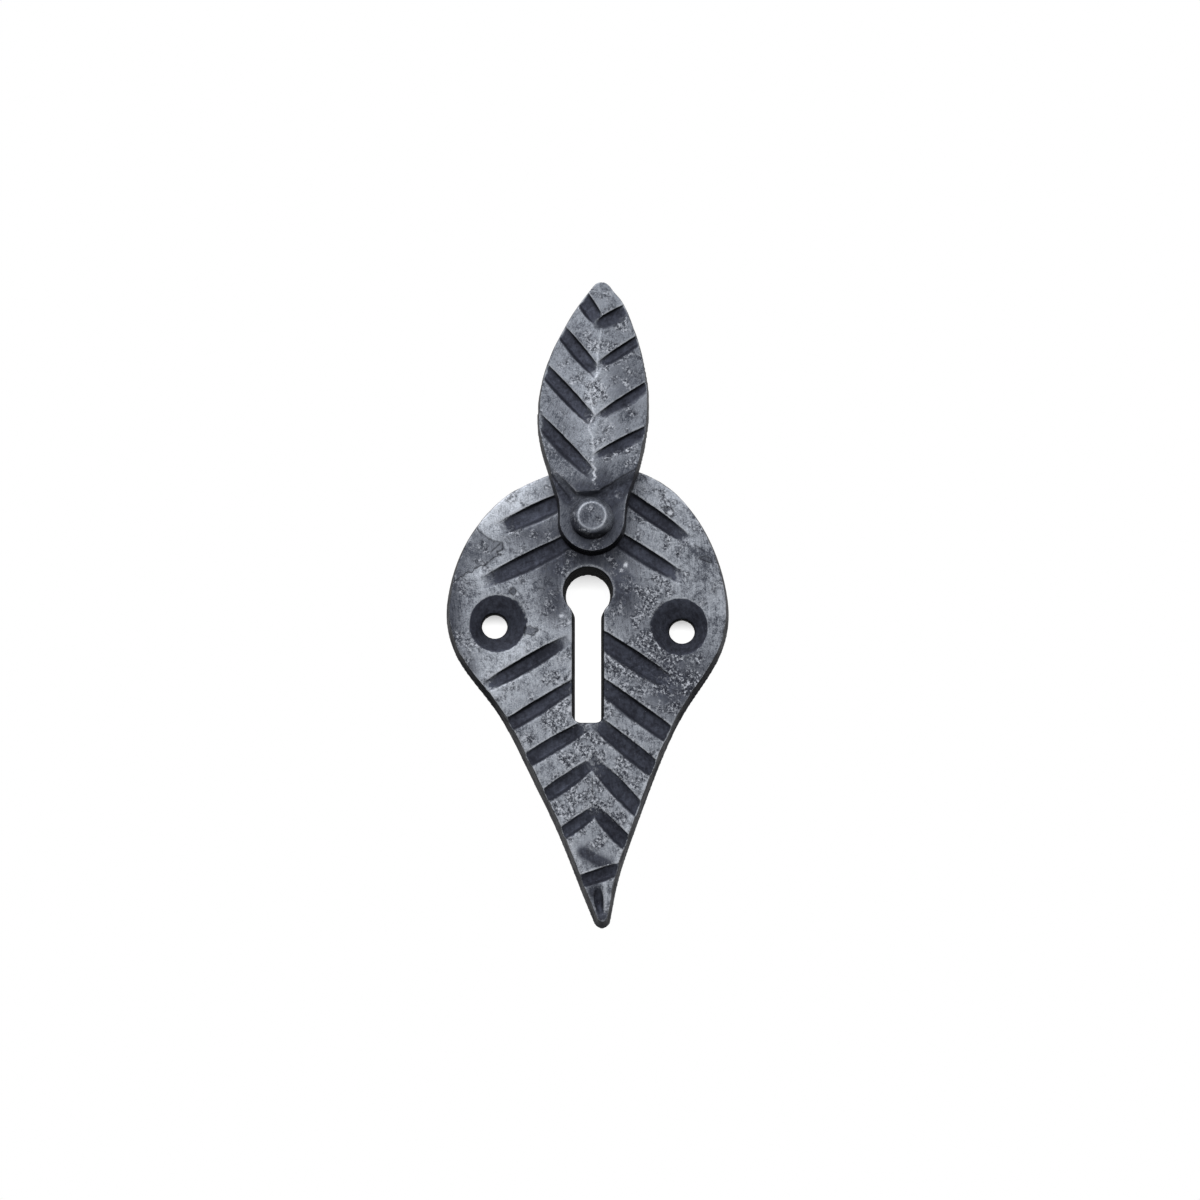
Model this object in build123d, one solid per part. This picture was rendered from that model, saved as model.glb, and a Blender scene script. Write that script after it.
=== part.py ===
from build123d import *
from math import cos, radians, sin, tan
import os

# Forged keyhole escutcheon: a leaf-shaped back plate, a leaf-shaped cover and the rivet it swings on.
# Each piece is drawn lying on its back, with X across, Y up the leaf and Z out of the face, and is
# stood upright at the end: +X right, +Z up, the face towards -Y, the back on the plane y = 0.
# The origin is where the key's axis meets the back. All sizes are in millimetres and degrees.

# Back plate: its reach from the key's axis, and the heights of its face above the back
plate_half_width = 23.4
plate_top = 21.9
plate_tip = 55.9
plate_tip_radius = 1.4
plate_crown = 4.6
plate_top_height = 3.4
plate_tip_height = 3.4
plate_side_height = 2.6
plate_roof_height = 1.6
plate_crown_fullness = 0.26
plate_roof_fullness = 0.40
plate_draft = 8.0

# Keyhole, drifted from the front, so that its walls close a little towards the back
keyhole_radius = 4.1
keyhole_slot_width = 5.2
keyhole_slot_bottom = 22.2
keyhole_neck_radius = 1.6
keyhole_corner_radius = 1.4
keyhole_draft = 6.0

# Screw holes, drilled and countersunk by hand, so that they aren't quite level
screw_left = (-15.4, -5.3)
screw_right = (15.5, -6.2)
screw_bore_radius = 2.1
screw_bore_length = 1.7
countersink_angle = 104.0
countersink_left_drift = (0.15, 0.0)
countersink_right_drift = (0.0, 0.35)

# Rivet: shank, forged head in front, and tail spread flush into the back of the plate
rivet_across = 0.65
rivet_up = 11.5
rivet_shank_radius = 2.0
rivet_head_radius = 3.55
rivet_head_top_radius = 2.3
rivet_head_height = 2.2
rivet_head_land = 0.4
rivet_head_bulge = 0.18
rivet_tail_radius = 2.9
rivet_tail_depth = 1.1

# Cover: its reach from the rivet, its lean to the right, and heights above its own flat underside
cover_half_width = 9.3
cover_tip = 40.7
cover_tip_across = 0.25
cover_tip_radius = 2.0
cover_lean = 2.0
cover_ridge_height = 3.9
cover_tip_height = 2.7
cover_root_side_height = 3.3
cover_side_height = 1.0
cover_fullness = 0.40
cover_draft = 7.0
hub_radius = 5.7
hub_height = 2.7

# Clearances of the swivel: round the shank, and behind and before the hub
pivot_clearance = 0.08
hub_gap_behind = 0.2
hub_gap_front = 0.15

# Chiselled veins: depth half-way along, run of the steep upper wall, and how far a cutter stands clear
plate_vein_depth = 0.8
cover_vein_depth = 0.75
vein_wall_run = 0.35
vein_overcut = 1.8
cut_margin = 1.0
face_overhang = 3.0

# Side of the plate from the right of its tip, over the top, to the left of its tip. Each point is a
# share of the half width and of the reach to the top, or of the reach to the tip where it is negative.
plate_side = [
    (0.198, -0.888),
    (0.317, -0.725),
    (0.475, -0.543),
    (0.705, -0.336),
    (0.935, -0.178),
    (0.995, -0.065),
    (0.98, 0.03),
    (0.855, 0.45),
    (0.64, 0.775),
    (0.38, 0.95),
    (0.04, 1.0),
    (-0.29, 0.927),
    (-0.58, 0.77),
    (-0.85, 0.44),
    (-0.985, 0.03),
    (-1.0, -0.065),
    (-0.93, -0.18),
    (-0.665, -0.337),
    (-0.42, -0.53),
    (-0.20, -0.727),
    (-0.05, -0.888),
]
plate_tip_across = 2.3
plate_tip_angles = (202, 348)

# Veins of the plate in the same shares: inner end and outer end of the steep edge, then the widths of
# the floor and of the low lip below it. The upper ones fade out on the face, the lower run over the edge.
plate_veins = [
    ((-0.10, 0.80), (-0.66, 0.525), 2.0, 1.0),
    ((-0.02, 0.497), (-0.78, 0.10), 1.9, 0.9),
    ((-0.14, -0.13), (-0.78, -0.283), 1.5, 0.8),
    ((-0.04, -0.251), (-0.76, -0.436), 1.5, 0.8),
    ((0.02, -0.38), (-0.64, -0.54), 1.6, 0.8),
    ((0.05, -0.497), (-0.50, -0.655), 1.5, 0.8),
    ((0.08, -0.638), (-0.34, -0.76), 1.3, 0.7),
    ((0.16, 0.866), (0.76, 0.41), 1.5, 0.8),
    ((0.10, 0.53), (0.71, 0.121), 1.6, 0.9),
    ((0.0, -0.092), (0.64, -0.27), 2.1, 1.0),
    ((0.0, -0.232), (0.82, -0.481), 2.0, 0.9),
    ((0.02, -0.36), (0.70, -0.588), 1.9, 0.9),
    ((0.03, -0.488), (0.53, -0.707), 1.8, 0.8),
    ((0.045, -0.637), (0.42, -0.80), 1.5, 0.8),
    ((-0.15, -0.871), (0.32, -0.807), 1.3, 0.7),
    ((0.085, -0.886), (0.106, -0.972), 0.7, 0.5),
]

# Sides of the cover's blade, up the right and down the left: shares of the half width and of the reach
blade_right_side = [
    (0.66, 0.105),
    (0.77, 0.185),
    (0.90, 0.32),
    (0.95, 0.5),
    (0.81, 0.69),
    (0.635, 0.813),
    (0.40, 0.925),
]
blade_left_side = [
    (-0.36, 0.912),
    (-0.57, 0.83),
    (-0.85, 0.69),
    (-1.04, 0.47),
    (-0.985, 0.32),
    (-0.80, 0.185),
    (-0.68, 0.1),
]
cover_tip_angles = (36, 141)
hub_angles = (180, 360)

# Veins of the blade in the same shares: end at the midrib, outer end of the steep edge, floor and lip
cover_veins = [
    ((0.06, 0.84), (-0.30, 0.964), 1.8, 0.6),
    ((0.07, 0.617), (-0.72, 0.826), 1.6, 0.6),
    ((0.05, 0.408), (-1.14, 0.694), 1.6, 0.6),
    ((0.06, 0.185), (-1.15, 0.465), 1.4, 0.9),
    ((-0.12, 0.812), (0.52, 0.911), 0.9, 1.4),
    ((-0.03, 0.643), (0.88, 0.802), 0.9, 0.7),
    ((-0.04, 0.42), (1.15, 0.62), 0.5, 1.3),
    ((-0.06, 0.257), (1.12, 0.42), 0.6, 1.3),
]
# Foot of the step from the blade down to the hub, from left to right: a share each and the wall's lean
hub_step = [(-0.97, 0.228, 58), (-0.29, 0.09, 30), (0.10, 0.097, 30), (1.0, 0.205, 62)]


def spread(share, half_width, top, tip):
    """Point of a leaf from its shares of the half width and of the reach above or below the origin."""
    reach = top if share[1] > 0 else tip
    return Vector(share[0] * half_width, share[1] * reach)


def round_point(end, angle, inset):
    """Point on a round end of an outline, its centre, radius and angles given, at one angle."""
    centre, radius, angles = end
    reach = radius - inset
    return centre + Vector(reach * cos(radians(angle)), reach * sin(radians(angle)))


def outline_wire(ends, sides, inset, height):
    """Anticlockwise outline of round ends and of smooth sides between them, drawn in by the inset."""
    edges = []
    for place, (end, side) in enumerate(zip(ends, sides)):
        following = ends[(place + 1) % len(ends)]
        start, finish = end[2]
        arrival = following[2][0]
        middle = round_point(end, (start + finish) / 2, inset)
        arc_ends = [round_point(end, angle, inset) for angle in end[2]]
        edges.append(Edge.make_three_point_arc(arc_ends[0], middle, arc_ends[1]))
        tangents = [Vector(-sin(radians(angle)), cos(radians(angle))) for angle in (finish, arrival)]
        base = [round_point(end, finish, 0), *side, round_point(following, arrival, 0)]
        guide = Edge.make_spline(base, tangents=tangents)
        inner = []
        for point in side:
            along = guide.tangent_at(point)
            inner.append(point + Vector(-along.Y, along.X) * inset)
        path = [arc_ends[1], *inner, round_point(following, arrival, inset)]
        edges.append(Edge.make_spline(path, tangents=tangents))
    return Wire(edges).moved(Location((0, 0, height)))


def drafted_slab(ends, sides, draft, height):
    """Slab on an outline, whose wall leans in by the draft angle as it rises."""
    inset = height * tan(radians(draft))
    return Solid.make_loft(
        [outline_wire(ends, sides, 0, 0), outline_wire(ends, sides, inset, height)], ruled=True
    )


def ridged_block(stations, span, depth):
    """Block whose top follows sections across the leaf: two arcs that meet on the midrib.

    Each station gives its place up the leaf, the heights of the midrib and of the sides, and how much
    of the drop to the side is reached half-way, a quarter for a smooth crown and a half for a roof.
    """
    sections = []
    for up, ridge, side, half_way in stations:
        middle = ridge - (ridge - side) * half_way
        top = Vector(0, up, ridge)
        section = ((span, side), (span, -depth), (-span, -depth), (-span, side))
        corners = [Vector(x, up, z) for x, z in section]
        right_arc = Edge.make_three_point_arc(top, Vector(span / 2, up, middle), corners[0])
        left_arc = Edge.make_three_point_arc(corners[3], Vector(-span / 2, up, middle), top)
        flats = [Edge.make_line(start, end) for start, end in zip(corners, corners[1:])]
        sections.append(Wire([right_arc, *flats, left_arc]))
    return Solid.make_loft(sections)


def point_on(block, place):
    """Point of a block's top above a place in the plan."""
    plumb = Axis((place.X, place.Y, 0), (0, 0, 1))
    hits = [point for point, normal in block.find_intersection_points(plumb)]
    return max(hits, key=lambda point: point.Z)


def vein_wheel(block, inner, outer, depth, floor, lip):
    """Cutter of one vein: a wheel with a flat rim, a steep flank uphill and a lower flank downhill.

    Its rim meets the face at the inner and outer ends and is deepest half-way, as a curved chisel cuts.
    """
    start = point_on(block, inner)
    end = point_on(block, outer)
    chord = end - start
    downhill = Vector(chord.Y, -chord.X) if chord.X > 0 else Vector(-chord.Y, chord.X)
    middle = (inner + outer) * 0.5
    surface = point_on(block, middle)
    below = point_on(block, middle + downhill.normalized() * (floor + lip))
    across = (below - surface).normalized()
    outward = chord.cross(across).normalized()
    if outward.Z < 0:
        outward = outward * -1
    sag = depth - (surface - (start + end) * 0.5).dot(outward)
    radius = (chord.length**2 / 4 + sag**2) / (2 * sag)
    reach = radius - depth * vein_overcut
    profile = Polyline(
        (0, -vein_wall_run * vein_overcut),
        (reach, -vein_wall_run * vein_overcut),
        (radius, 0),
        (radius, floor),
        (reach, floor + lip * vein_overcut),
        (0, floor + lip * vein_overcut),
        close=True,
    )
    wheel = revolve(Plane.XZ * make_face(profile), Axis.Z)
    return Plane(surface + outward * (radius - depth), x_dir=outward, z_dir=across) * wheel


def keyhole_outline(inset):
    """Round hole with a slot below it, drawn in by the inset, with an eased neck and corners."""
    slot_length = keyhole_slot_bottom - inset
    slot = Pos(0, -slot_length / 2) * Rectangle(keyhole_slot_width - 2 * inset, slot_length)
    hole = Circle(keyhole_radius - inset) + slot
    hole = fillet(hole.vertices().sort_by(Axis.Y)[2:4], keyhole_neck_radius + inset)
    return fillet(hole.vertices().sort_by(Axis.Y)[:2], keyhole_corner_radius - inset)


def keyhole_cutter():
    """Keyhole as wide as stated at the crown, closing by its draft down to the back."""
    rise = tan(radians(keyhole_draft))
    upper = Pos(0, 0, plate_crown + cut_margin) * keyhole_outline(-cut_margin * rise)
    lower = Pos(0, 0, -cut_margin) * keyhole_outline((plate_crown + cut_margin) * rise)
    return loft([lower, upper], ruled=True)


def screw_cutter(place, drift):
    """Screw hole: a bore right through, and a countersink cut a little off its centre by hand."""
    slope = tan(radians(countersink_angle / 2))
    point = screw_bore_length - screw_bore_radius / slope
    depth = plate_crown + cut_margin - point
    bore_height = plate_crown + 2 * cut_margin
    low = (Align.CENTER, Align.CENTER, Align.MIN)
    bore = Pos(0, 0, -cut_margin) * Cylinder(screw_bore_radius, bore_height, align=low)
    sink = Pos(*drift, point) * Cone(0, depth * slope, depth, align=low)
    return Pos(*place) * (bore + sink)


def plate_stations():
    """Sections of the plate's face: level from the rivet to the foot of the keyhole, low at both ends."""
    stations = []
    count = 12
    top = plate_top + cut_margin
    tip = -plate_tip - cut_margin
    for step in range(count + 1):
        up = top + (tip - top) * step / count
        above = max(0, up - rivet_up) / (top - rivet_up)
        below = max(0, -keyhole_slot_bottom - up) / (-keyhole_slot_bottom - tip)
        fall = (plate_crown - plate_top_height) * above**2 + (plate_crown - plate_tip_height) * below**2
        roof = min(1, max(0, -up / keyhole_slot_bottom))
        side = plate_side_height + (plate_roof_height - plate_side_height) * below
        half_way = plate_crown_fullness + (plate_roof_fullness - plate_crown_fullness) * roof
        stations.append((up, plate_crown - fall, side - fall, half_way))
    return stations


def back_plate():
    """Forged plate: drafted outline under a crowned face, with veins, keyhole and holes."""
    def place(share):
        return spread(share, plate_half_width, plate_top, plate_tip)

    tip_end = (Vector(plate_tip_across, plate_tip_radius - plate_tip), plate_tip_radius, plate_tip_angles)
    sides = [[place(share) for share in plate_side]]
    blank = drafted_slab([tip_end], sides, plate_draft, plate_crown + cut_margin)
    face = ridged_block(plate_stations(), plate_half_width + face_overhang, cut_margin)
    plate = blank & face
    for inner, outer, floor, lip in plate_veins:
        plate -= vein_wheel(face, place(inner), place(outer), plate_vein_depth, floor, lip)
    plate -= keyhole_cutter()
    plate -= screw_cutter(screw_left, countersink_left_drift)
    plate -= screw_cutter(screw_right, countersink_right_drift)
    return plate - pivot_rivet()


def pivot_rivet():
    """Rivet: tail spread flush with the back, shank, and a head with a flat worn top."""
    head_base = plate_crown + hub_gap_behind + hub_height + hub_gap_front
    head_top = head_base + rivet_head_height
    shoulder = (rivet_head_radius, head_base + rivet_head_land)
    rim = (rivet_head_top_radius, head_top)
    bulge = ((shoulder[0] + rim[0]) / 2 + rivet_head_bulge, (shoulder[1] + rim[1]) / 2 + rivet_head_bulge)
    profile = Polyline(
        rim,
        (0, head_top),
        (0, 0),
        (rivet_tail_radius, 0),
        (rivet_shank_radius, rivet_tail_depth),
        (rivet_shank_radius, head_base),
        (rivet_head_radius, head_base),
        shoulder,
    )
    section = make_face(profile + ThreePointArc(shoulder, bulge, rim))
    return Pos(rivet_across, rivet_up) * revolve(Plane.XZ * section, Axis.Z)


def cover_stations():
    """Sections of the cover: thick beside the hub, a low roof along the blade, thin at the tip."""
    stations = []
    count = 6
    root = -hub_radius - cut_margin
    tip = cover_tip + cut_margin
    for step in range(count + 1):
        up = root + (tip - root) * step / count
        along = max(0, up) / tip
        ridge = cover_ridge_height + (cover_tip_height - cover_ridge_height) * along**2
        side = cover_root_side_height + (cover_side_height - cover_root_side_height) * along
        stations.append((up, ridge, min(side, ridge), cover_fullness))
    return stations


def hub_step_cutter():
    """What is struck away above the hub's face, up to a leaning step across the foot of the blade."""
    rise = cover_ridge_height + cut_margin - hub_height
    foot = []
    crest = []
    for across, along, lean in hub_step:
        point = spread((across, along), cover_half_width, cover_tip, cover_tip)
        foot.append(point)
        crest.append(point + Vector(0, rise * tan(radians(lean))))
    corners = [Vector(cover_half_width, -cover_half_width), Vector(-cover_half_width, -cover_half_width)]
    lower = Wire.make_polygon(foot + corners)
    upper = Wire.make_polygon(crest + corners)
    lower = lower.moved(Location((0, 0, hub_height)))
    upper = upper.moved(Location((0, 0, hub_height + rise)))
    return Solid.make_loft([lower, upper], ruled=True)


def swing_cover():
    """Leaf cover: drafted outline under a ridged face, veins, and a flat hub bored for the rivet."""
    def place(share):
        return spread(share, cover_half_width, cover_tip, cover_tip)

    tip_centre = Vector(cover_tip_across, cover_tip - cover_tip_radius)
    ends = [(Vector(0, 0), hub_radius, hub_angles), (tip_centre, cover_tip_radius, cover_tip_angles)]
    sides = [[place(share) for share in side] for side in (blade_right_side, blade_left_side)]
    blank = drafted_slab(ends, sides, cover_draft, cover_ridge_height + cut_margin)
    face = ridged_block(cover_stations(), cover_half_width + face_overhang, cut_margin)
    cover = blank & face
    for inner, outer, floor, lip in cover_veins:
        cover -= vein_wheel(face, place(inner), place(outer), cover_vein_depth, floor, lip)
    cover -= hub_step_cutter()
    cover -= Cylinder(rivet_shank_radius + pivot_clearance, 2 * (cover_ridge_height + cut_margin))
    return Pos(rivet_across, rivet_up, plate_crown + hub_gap_behind) * Rot(0, 0, -cover_lean) * cover


os.makedirs("parts", exist_ok=True)
pieces = {"back_plate": back_plate(), "swing_cover": swing_cover(), "pivot_rivet": pivot_rivet()}
for name, piece in pieces.items():
    export_step(Plane.XZ * piece, f"parts/{name}.step")
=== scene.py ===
from math import cos, radians, sin

import bmesh
import bpy
import numpy as np
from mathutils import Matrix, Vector
from mathutils.bvhtree import BVHTree


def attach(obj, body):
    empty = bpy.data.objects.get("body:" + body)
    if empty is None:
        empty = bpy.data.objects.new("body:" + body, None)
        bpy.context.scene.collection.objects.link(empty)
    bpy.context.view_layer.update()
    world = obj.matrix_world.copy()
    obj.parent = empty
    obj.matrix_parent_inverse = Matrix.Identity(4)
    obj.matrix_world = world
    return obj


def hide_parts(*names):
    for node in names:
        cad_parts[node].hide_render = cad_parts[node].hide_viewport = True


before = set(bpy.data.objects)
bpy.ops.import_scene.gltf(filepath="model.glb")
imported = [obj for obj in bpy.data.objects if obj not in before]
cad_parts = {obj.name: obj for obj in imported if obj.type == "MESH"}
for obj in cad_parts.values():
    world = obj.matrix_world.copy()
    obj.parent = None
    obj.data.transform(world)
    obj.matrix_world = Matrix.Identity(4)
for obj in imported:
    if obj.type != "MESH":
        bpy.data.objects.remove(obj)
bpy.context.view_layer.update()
MM = 0.001

# Back plate
# A leaf forged from flat mild steel bar: hammered to a crown, its veins cut with a chisel while hot, its
# keyhole drifted and its screw holes countersunk. It was blackened, waxed and rubbed back on the high spots.


def plain_mesh(piece):
    """Turns what a piece's modifiers make into its own plain mesh."""
    evaluated = piece.evaluated_get(bpy.context.evaluated_depsgraph_get())
    made = bpy.data.meshes.new_from_object(evaluated)
    piece.modifiers.clear()
    piece.data = made


def forged_copy(node, quad):
    """A CAD node's shape as one even skin of small quads, fine enough to carry the marks of the forge."""
    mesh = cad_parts[node].data.copy()
    mesh.materials.clear()
    shape = bmesh.new()
    shape.from_mesh(mesh)
    bmesh.ops.remove_doubles(shape, verts=shape.verts, dist=0.001 * MM)
    shape.to_mesh(mesh)
    shape.free()
    piece = bpy.data.objects.new(f"forged_{node}", mesh)
    bpy.context.scene.collection.objects.link(piece)
    remesh = piece.modifiers.new("even_skin", "REMESH")
    remesh.mode = "VOXEL"
    remesh.voxel_size = quad * MM
    plain_mesh(piece)
    return piece


def thin_back(piece, cuts):
    """Joins the quads of a flat back to a few large faces, parted along upright cuts through the holes."""
    flat = 0.999
    back_layer = 0.02 * MM
    shape = bmesh.new()
    shape.from_mesh(piece.data)
    shape.normal_update()
    strips = {}
    for face in shape.faces:
        if all(vert.normal.y > flat and vert.co.y > -back_layer for vert in face.verts):
            across = face.calc_center_median().x / MM
            strips.setdefault(sum(across > cut for cut in cuts), []).append(face)
    for faces in strips.values():
        bmesh.ops.dissolve_faces(shape, faces=faces)
    shape.to_mesh(piece.data)
    shape.free()


def points_of(piece):
    """Places of a piece's points, in millimetres."""
    flat = np.empty(3 * len(piece.data.vertices), np.float32)
    piece.data.vertices.foreach_get("co", flat)
    return flat.reshape(-1, 3).astype(float) / MM


def facing_of(piece):
    """Which way the skin faces at each of a piece's points."""
    flat = np.empty(3 * len(piece.data.vertices), np.float32)
    piece.data.vertex_normals.foreach_get("vector", flat)
    return flat.reshape(-1, 3).astype(float)


def store(piece, **marks):
    """Writes numbers to a piece's points, one for each mark, for its skin and its material to read."""
    for name, values in marks.items():
        attribute = piece.data.attributes.new(name, "FLOAT", "POINT")
        values = np.broadcast_to(np.asarray(values, np.float32), len(piece.data.vertices))
        attribute.data.foreach_set("value", np.ascontiguousarray(values))


def sunk(piece, pitch, reach, run):
    """How deep each point lies below the face as it was before veins and holes were cut, in millimetres.

    The face's height is read on a grid of the given pitch, and each hollow narrower than twice the reach is
    filled. The mark of a hollow runs on below it by the run, as its black wax does. The second value
    marks the brow above each hollow, which is rubbed brightest.
    """
    skin = BVHTree.FromObject(piece, bpy.context.evaluated_depsgraph_get())
    places = points_of(piece)
    low = places.min(0) - 2 * pitch
    columns, rows = (np.ceil((places.max(0) - low) / pitch).astype(int) + 2)[[0, 2]]
    heights = np.full((columns, rows), -1.0)
    for column in range(columns):
        for row in range(rows):
            start = Vector((low[0] + column * pitch, -100, low[2] + row * pitch)) * MM
            hit, facing = skin.ray_cast(start, Vector((0, 1, 0)))[:2]
            if hit is not None and facing.y < -0.5:
                heights[column, row] = -hit.y / MM
    span = int(reach / pitch)
    steps = range(-span, span + 1)
    disc = [(across, up) for across in steps for up in steps if across**2 + up**2 <= span**2]
    wide = np.pad(heights, 2 * span, constant_values=-1.0)
    raised = np.full((columns + 2 * span, rows + 2 * span), -1.0)
    for across, up in disc:
        left, foot = span + across, span + up
        raised = np.maximum(raised, wide[left : left + columns + 2 * span, foot : foot + rows + 2 * span])
    raised[raised < 0] = 100.0
    filled = np.full((columns, rows), 100.0)
    for across, up in disc:
        left, foot = span + across, span + up
        filled = np.minimum(filled, raised[left : left + columns, foot : foot + rows])
    hollows = np.where(heights < 0, 0.0, filled - heights)

    def sample(grid, lift):
        spot = (places[:, [0, 2]] - low[[0, 2]] + (0, lift)) / pitch
        spot = np.minimum(spot, np.array(grid.shape) - 1.001)
        corner = np.floor(spot).astype(int)
        part = spot - corner
        value = np.zeros(len(places))
        for across, up in ((0, 0), (1, 0), (0, 1), (1, 1)):
            share = np.abs(1 - across - part[:, 0]) * np.abs(1 - up - part[:, 1])
            value += share * grid[corner[:, 0] + across, corner[:, 1] + up]
        return value

    deepest = 5
    brow_height = 0.5
    on_face = 0.06
    own = np.clip(sample(filled, 0) + places[:, 1], 0, deepest)
    brow = np.clip(sample(hollows, -brow_height) * 2, 0, 1) * (own < on_face)
    return np.maximum(own, np.clip(sample(hollows, run), 0, 1)), brow


def spread(piece, base, spots):
    """A value that swells and fades in soft spots: middle across and up, reach across and up, amount."""
    places = points_of(piece)
    value = np.full(len(places), base)
    for across, up, wide, tall, amount in spots:
        off = ((places[:, 0] - across) / wide) ** 2 + ((places[:, 2] - up) / tall) ** 2
        value += amount * np.exp(-off)
    return value


def off_path(piece, path):
    """How far each point lies from a path of straight runs on the face, in millimetres."""
    places = points_of(piece)[:, [0, 2]]
    nearest = np.full(len(places), 1000.0)
    for start, end in zip(np.array(path[:-1], float), np.array(path[1:], float)):
        run = end - start
        along = np.clip((places - start) @ run / (run @ run), 0, 1)
        nearest = np.minimum(nearest, np.linalg.norm(places - start - along[:, None] * run, axis=1))
    return nearest


def inside(piece, outline):
    """How far each point lies inside a closed outline on the face, in millimetres, and below 0 outside it."""
    places = points_of(piece)[:, [0, 2]]
    corners = np.array(outline, float)
    within = np.zeros(len(places), bool)
    for start, end in zip(corners, np.roll(corners, -1, axis=0)):
        spans = (start[1] > places[:, 1]) != (end[1] > places[:, 1])
        rise = end[1] - start[1] or 1e-9
        within ^= spans & (places[:, 0] < start[0] + (places[:, 1] - start[1]) * (end[0] - start[0]) / rise)
    off = off_path(piece, [*outline, outline[0]])
    return np.where(within, off, -off)


def add(tree, kind, inputs=None, out=0, **settings):
    """Adds a node with its settings, sets or links its inputs, and gives one of the outputs in use."""
    made = tree.nodes.new(kind)
    for name, value in settings.items():
        setattr(made, name, value)
    for name, value in (inputs or {}).items():
        if isinstance(name, str):
            socket = next(each for each in made.inputs if each.name == name and each.enabled)
        else:
            socket = made.inputs[name]
        if isinstance(value, bpy.types.NodeSocket):
            tree.links.new(value, socket)
        else:
            socket.default_value = value
    outputs = [each for each in made.outputs if each.enabled]
    return outputs[out] if outputs else made


def linear(code):
    """Linear colour of an sRGB hex value."""
    parts = [int(code[place : place + 2], 16) / 255 for place in (1, 3, 5)]
    light = [part / 12.92 if part <= 0.04045 else ((part + 0.055) / 1.055) ** 2.4 for part in parts]
    return (*light, 1.0)


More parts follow.
